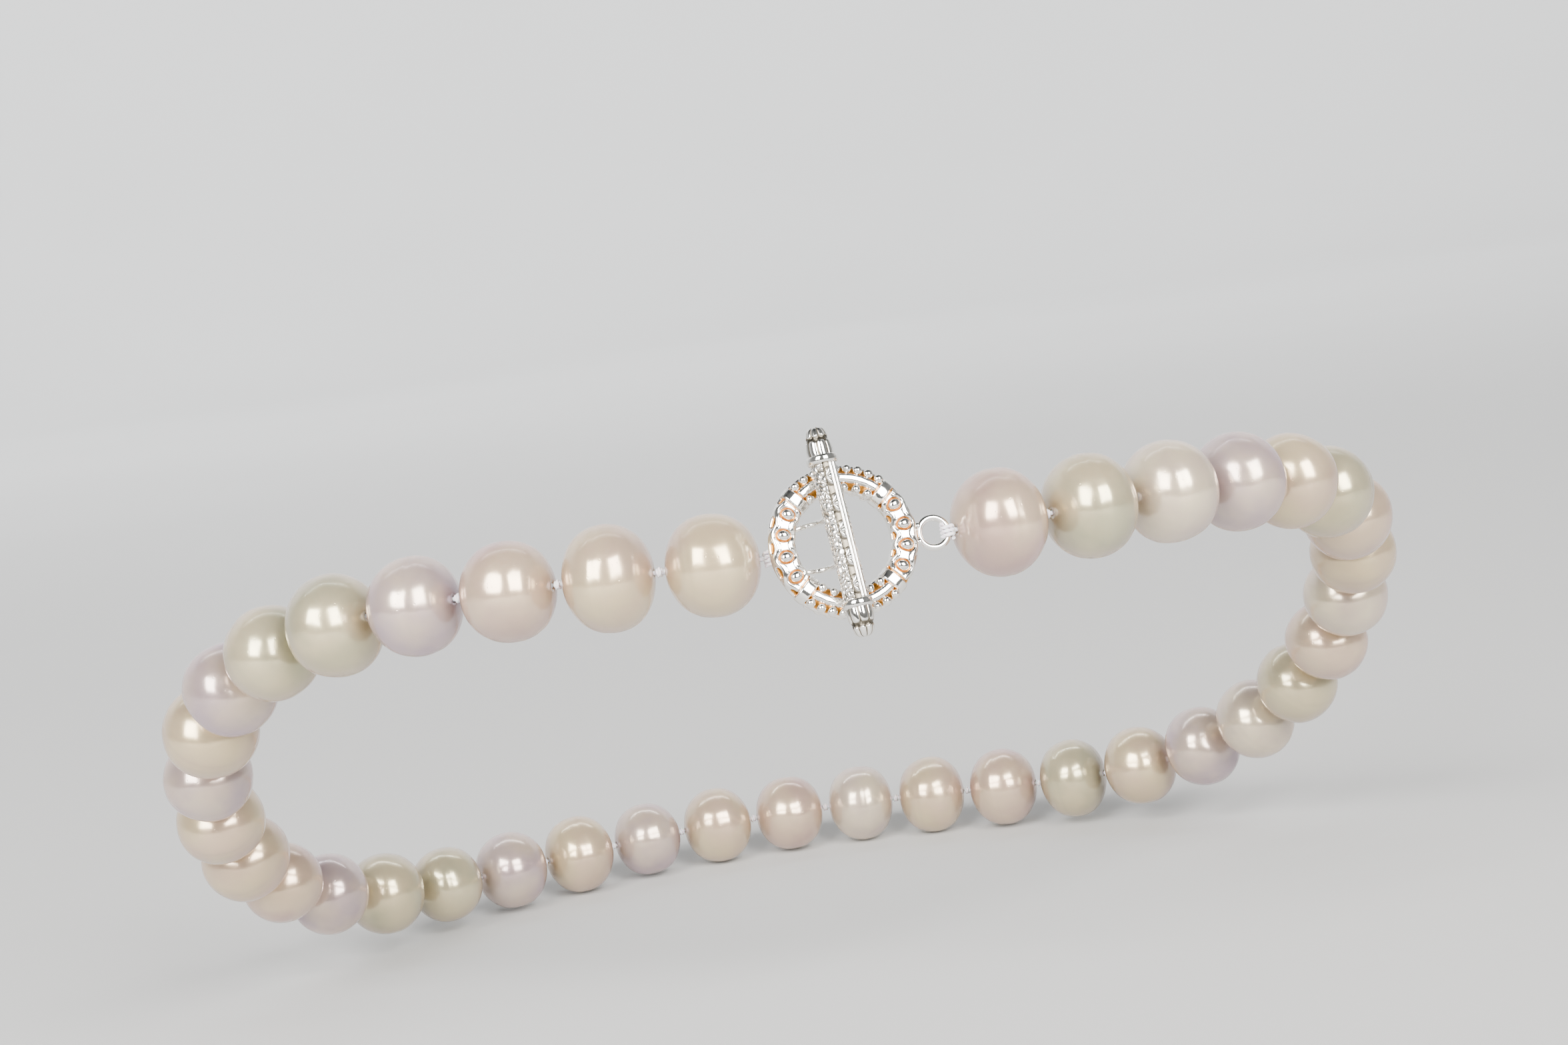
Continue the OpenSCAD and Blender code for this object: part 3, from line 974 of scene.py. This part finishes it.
def bar_relief(z, psi):
    """Height and hollow mark. psi is the angle in degrees from the front, right positive."""
    around = np.radians(psi)
    surface = np.stack([BAR_RADIUS * np.sin(around), -BAR_RADIUS * np.cos(around), z], axis=1)
    nuggets = pebbles(surface, 1.75)
    rough = 0.20 * nuggets - 0.10
    rough_hollow = np.clip(1 - nuggets * 1.6, 0, 1)

    clump = 2.75
    zc = np.mod(z + clump / 2, clump) - clump / 2
    s = around * BAR_RADIUS - 0.12
    reach = np.hypot(zc, s * 1.1)
    fan = np.arctan2(zc, s + 0.55)
    petals = 0.5 + 0.5 * np.cos(fan * 7)
    rosette = bump_at(reach, 1.0) ** 0.5
    fan_h = 0.22 * rosette * (0.55 + 0.45 * petals) - 0.14
    fan_hollow = np.clip(1.1 - rosette * (0.5 + 0.6 * petals), 0, 1)
    facets = 1 - step_up(rosette, 0.02, 0.30)
    fan_hollow = np.where(facets > 0.5, 0.75, fan_hollow)

    middle = step_up(psi, -22, -14) * (1 - step_up(psi, 16, 22))
    height = rough * (1 - middle) + fan_h * middle
    hollow = rough_hollow * (1 - middle) + fan_hollow * middle
    line = bump_at(psi + 18, 4.0)
    rail_bed = bump_at(psi - 30, 17)
    height = height * (1 - rail_bed) - 0.12 * line - 0.16 * rail_bed
    return height, np.clip(hollow + line + 0.7 * rail_bed, 0, 1)

print("points on the bar:", ALONG_BAR * ROUND_BAR)

# %% The bar's body
z = np.linspace(-COLLAR_AT, COLLAR_AT, ALONG_BAR)
psi = np.linspace(-180, 180, ROUND_BAR, endpoint=False)
Z, P = (g.ravel() for g in np.meshgrid(z, psi, indexing="ij"))
bar_height, bar_hollow = bar_relief(Z, P)
reach_out = BAR_RADIUS + bar_height
round_bar = np.radians(P)
body_points = np.stack([reach_out * np.sin(round_bar), -reach_out * np.cos(round_bar), Z], axis=1)
body_faces = grid_faces(ALONG_BAR, ROUND_BAR, False)
body_faces += [tuple(range(ROUND_BAR)),
               tuple((ALONG_BAR - 1) * ROUND_BAR + k for k in range(ROUND_BAR))[::-1]]
bar_body = add_piece("bar_body", on_toggle(body_points), body_faces, bar_metal, {"hollow": bar_hollow})
face_outwards(bar_body)
print("faces on the bar's body:", len(bar_body.data.polygons))


# %% Collars, turned from outlines
def turned_piece(name, outline, material, sides, shape=None):
    """Turns an outline of (radius, z), and may shape each point by its angle."""
    outline = np.asarray(outline)
    psi = np.linspace(0, 2 * math.pi, sides, endpoint=False)
    R, A = np.meshgrid(outline[:, 0], psi, indexing="ij")
    Zs = np.repeat(outline[:, 1][:, None], sides, axis=1)
    K = np.repeat(np.linspace(0, 1, len(outline))[:, None], sides, axis=1)
    hollow = np.zeros_like(R)
    if shape:
        R, hollow = shape(R, A, K)
    points = np.stack([R * np.sin(A), -R * np.cos(A), Zs], axis=-1).reshape(-1, 3)
    faces = grid_faces(len(outline), sides, False)
    faces += [tuple(range(sides)), tuple((len(outline) - 1) * sides + k for k in range(sides))[::-1]]
    piece = add_piece(name, on_toggle(points), faces, material, {"hollow": hollow.ravel()})
    return face_outwards(piece)


def collar(name, at):
    t = np.linspace(0, math.pi, 22)
    outline = np.stack([1.25 + 0.34 * np.sin(t) ** 0.5, at - COLLAR_HALF * np.cos(t)], axis=1)
    return turned_piece(name, outline, bar_metal, 96)

# %% Buds with two tiers of petals
def bud_petals(R, A, K):
    """Two tiers of petals with a hollow between, and a blunt tip."""
    petals_low = np.abs(np.cos(4 * A)) ** 0.6
    petals_high = np.abs(np.sin(4 * A)) ** 0.6
    low = 1 - step_up(K, 0.30, 0.40)
    high = step_up(K, 0.36, 0.50) * (1 - step_up(K, 0.93, 1.0))
    gap = bump_at(K - 0.37 - 0.035 * petals_low, 0.085)
    inset = 0.16 * low * (1 - petals_low) + 0.17 * high * (1 - petals_high) + 0.15 * gap
    hollow = np.clip(gap * 1.2 + 0.9 * (low + high) * step_up(1 - np.where(K < 0.37, petals_low, petals_high),
                                                             0.25, 0.75), 0, 1)
    return np.maximum(R - inset * np.clip(R, 0, 1), 0.02), hollow


def bud(name, direction):
    base = COLLAR_AT + COLLAR_HALF - 0.06
    t = np.linspace(0, 1, 74)
    a = t * math.pi / 2
    rise = bar_half - base
    outline = np.stack([np.maximum(1.36 * np.cos(a) ** 0.52, 0.02) * (1 + 0.03 * np.sin(6 * a)),
                        direction * (base + rise * np.sin(a))], axis=1)
    return turned_piece(name, outline, bar_metal, 120, bud_petals)


collars = [collar("collar_top", COLLAR_AT), collar("collar_bottom", -COLLAR_AT)]
buds = [bud("bud_top", 1), bud("bud_bottom", -1)]
print("collars and buds:", len(collars) + len(buds))

# %% The rail, a doubled wire with a groove between
RAIL_REACH, RAIL_WIRE, RAIL_END = 1.17, 0.21, 6.95
rail_angle = math.radians(30)
rails = []
for name, across in (("rail_front", -10.5), ("rail_side", 10.5)):
    a = rail_angle + math.radians(across)
    path = [(RAIL_REACH * math.sin(a), -RAIL_REACH * math.cos(a), h)
            for h in np.linspace(-RAIL_END, RAIL_END, 90)]
    rails.append(closed_tube(name, on_toggle(path), RAIL_WIRE, bar_metal, sides=16, closed=False))
print("wires in the rail:", len(rails))

# %% The wire loop behind the bar
left_eye_here = toggle_axes @ (left_eye - bar_middle)
ARM_RISE = 2.35
elbow = np.array([-0.55, left_eye_here[1] - 1.12, left_eye_here[2]])
root = np.array([-0.40, 0.55, left_eye_here[2]])
oval_reach = elbow[0] - 0.95 - left_eye_here[0]
oval_middle = left_eye_here + [oval_reach, 0, 0]


def loop_path():
    """Down one arm, round the oval end and back along the other."""
    rise = np.array([0, 0, ARM_RISE])
    upper = [root + rise, root + [-0.15, 1.4, 0] + rise, elbow + rise, elbow + [-0.42, 0.72, 0] + rise]
    half_turn = [oval_middle + [-oval_reach * math.sin(a), 0, ARM_RISE * math.cos(a)]
                 for a in np.linspace(0.06, math.pi - 0.06, 17)]
    lower = [p * [1, 1, -1] + [0, 0, 2 * left_eye_here[2]] for p in upper[::-1]]
    corners = np.array(upper + half_turn + lower)
    smooth = []
    for k in range(len(corners) - 1):
        p0, p1 = corners[max(k - 1, 0)], corners[k]
        p2, p3 = corners[k + 1], corners[min(k + 2, len(corners) - 1)]
        for t in np.linspace(0, 1, 8, endpoint=False):
            smooth.append(0.5 * (2 * p1 + (p2 - p0) * t + (2 * p0 - 5 * p1 + 4 * p2 - p3) * t ** 2
                                 + (3 * p1 - p0 - 3 * p2 + p3) * t ** 3))
    return np.array(smooth + [corners[-1]])


bar_wire = closed_tube("bar_loop", on_toggle(loop_path()), LOOP_WIRE / 2, ring_metal,
                       closed=False)
for piece in [bar_body, *collars, *buds, *rails, bar_wire]:
    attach(piece, "toggle")
    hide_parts("toggle_bar")
print("faces on the loop:", len(bar_wire.data.polygons))

# %% [markdown]
# ## Silk at the clasp
# The silk goes round the eyelet, and round the bar's loop on the other side, a few
# times before its first knot. The wraps are a coil round the wire, side by side.

# %% Wraps round the two wires
for side, eye, wire_along, wire_radius in (
        ("r", right_eye, clasp_axes[2], EYELET_WIRE / 2),
        ("l", left_eye, toggle_axes[2], LOOP_WIRE / 2)):
    first_step = unit_step(strands[side][1], 1)
    coil = wrap_path(eye, wire_along, first_step, wire_radius)
    wrap = sweep_silk(f"wraps_{side}", [coil], WRAP_SILK)
    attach(wrap, f"{SIDES[side]}_01")
    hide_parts(f"silk_{side}01")
print("turns of silk on each wire:", WRAP_TURNS)

# %% [markdown]
# ## Floor and light
# Lustre shows only if there is something bright to reflect. Two soft boxes stand
# behind the camera, close together and high, and give each pearl its pair of
# highlights. A wide, weak panel fills from the other side, and the pale floor
# throws light up from below. The floor curves up into a round wall, so there is a
# plain backdrop from every side.

# %% Soft boxes
def soft_box(name, place, size, power, tint, aim=(0, 0, 0)):
    """A rectangular lamp in metres and watts, facing the point it is aimed at."""
    data = bpy.data.lights.new(name, "AREA")
    data.shape = "RECTANGLE"
    data.size, data.size_y = size
    data.energy = power
    data.color = tint
    lamp = bpy.data.objects.new(name, data)
    bpy.context.scene.collection.objects.link(lamp)
    spot = Vector(place)
    aimed = (spot - Vector(aim)).to_track_quat("Z", "Y").to_matrix().to_4x4()
    lamp.matrix_world = Matrix.Translation(spot) @ aimed


def lamp_place(azimuth, elevation, distance):
    """A place seen from the clasp, with the azimuth counted from behind the neck."""
    a, e = math.radians(azimuth), math.radians(elevation)
    return (-distance * math.sin(a) * math.cos(e), -distance * math.cos(a) * math.cos(e),
            distance * math.sin(e))


WARM_WHITE, COOL_WHITE = (1.0, 0.985, 0.965), (0.97, 0.985, 1.0)
soft_box("box_left", lamp_place(39, 27, 1.0), (0.48, 0.58), 26.0, WARM_WHITE)
soft_box("box_right", lamp_place(-20, 27, 1.0), (0.48, 0.58), 26.0, WARM_WHITE)
soft_box("top_panel", (0.0, 1.1, 1.9), (2.4, 1.2), 6.0, COOL_WHITE)
soft_box("wall_panel", (0.0, 0.9, 1.9), (3.0, 0.6), 190.0, COOL_WHITE, aim=(0.0, 2.8, 0.9))

world = bpy.data.worlds.new("studio")
bpy.context.scene.world = world
world.use_nodes = True
world.node_tree.nodes["Background"].inputs["Color"].default_value = (0.92, 0.94, 0.97, 1)
world.node_tree.nodes["Background"].inputs["Strength"].default_value = 0.10
print("world light:", world.node_tree.nodes["Background"].inputs["Strength"].default_value)

# %% Floor and backdrop
floor_finish, floor_tree, floor_shader = finish_named("pale floor", {"Roughness": 0.85})
floor_place = node_in(floor_tree, "ShaderNodeTexCoord").outputs["Object"]
floor_mottle = node_in(floor_tree, "ShaderNodeTexNoise", {"Vector": floor_place, "Scale": 3.0}).outputs["Fac"]
floor_tone = mix_tones(floor_tree, floor_mottle, (0.44, 0.44, 0.436, 1), (0.48, 0.48, 0.476, 1))
floor_tree.links.new(floor_tone, floor_shader.inputs["Base Color"])

lowest = cad_box[0][2]
FLOOR_RADIUS, BEND_RADIUS, WALL_TOP, FLOOR_SIDES = 2.0, 0.8, 6.0, 96
bend = [(FLOOR_RADIUS + BEND_RADIUS * math.sin(a), lowest + BEND_RADIUS * (1 - math.cos(a)))
        for a in np.linspace(0, math.pi / 2, 13)]
rise_line = [(0.5, lowest), *bend, (FLOOR_RADIUS + BEND_RADIUS, WALL_TOP)]
floor_points = [(r * math.cos(a), r * math.sin(a), h) for r, h in rise_line
                for a in np.linspace(0, 2 * math.pi, FLOOR_SIDES, endpoint=False)]
floor_faces = [face[::-1] for face in grid_faces(len(rise_line), FLOOR_SIDES, False)]
floor_faces += [tuple(range(FLOOR_SIDES))]
floor_mesh = bpy.data.meshes.new("floor")
floor_mesh.from_pydata(floor_points, [], floor_faces)
floor_mesh.shade_smooth()
floor_mesh.materials.append(floor_finish)
floor = bpy.data.objects.new("floor", floor_mesh)
bpy.context.scene.collection.objects.link(floor)
print("faces on the floor:", len(floor_mesh.polygons))
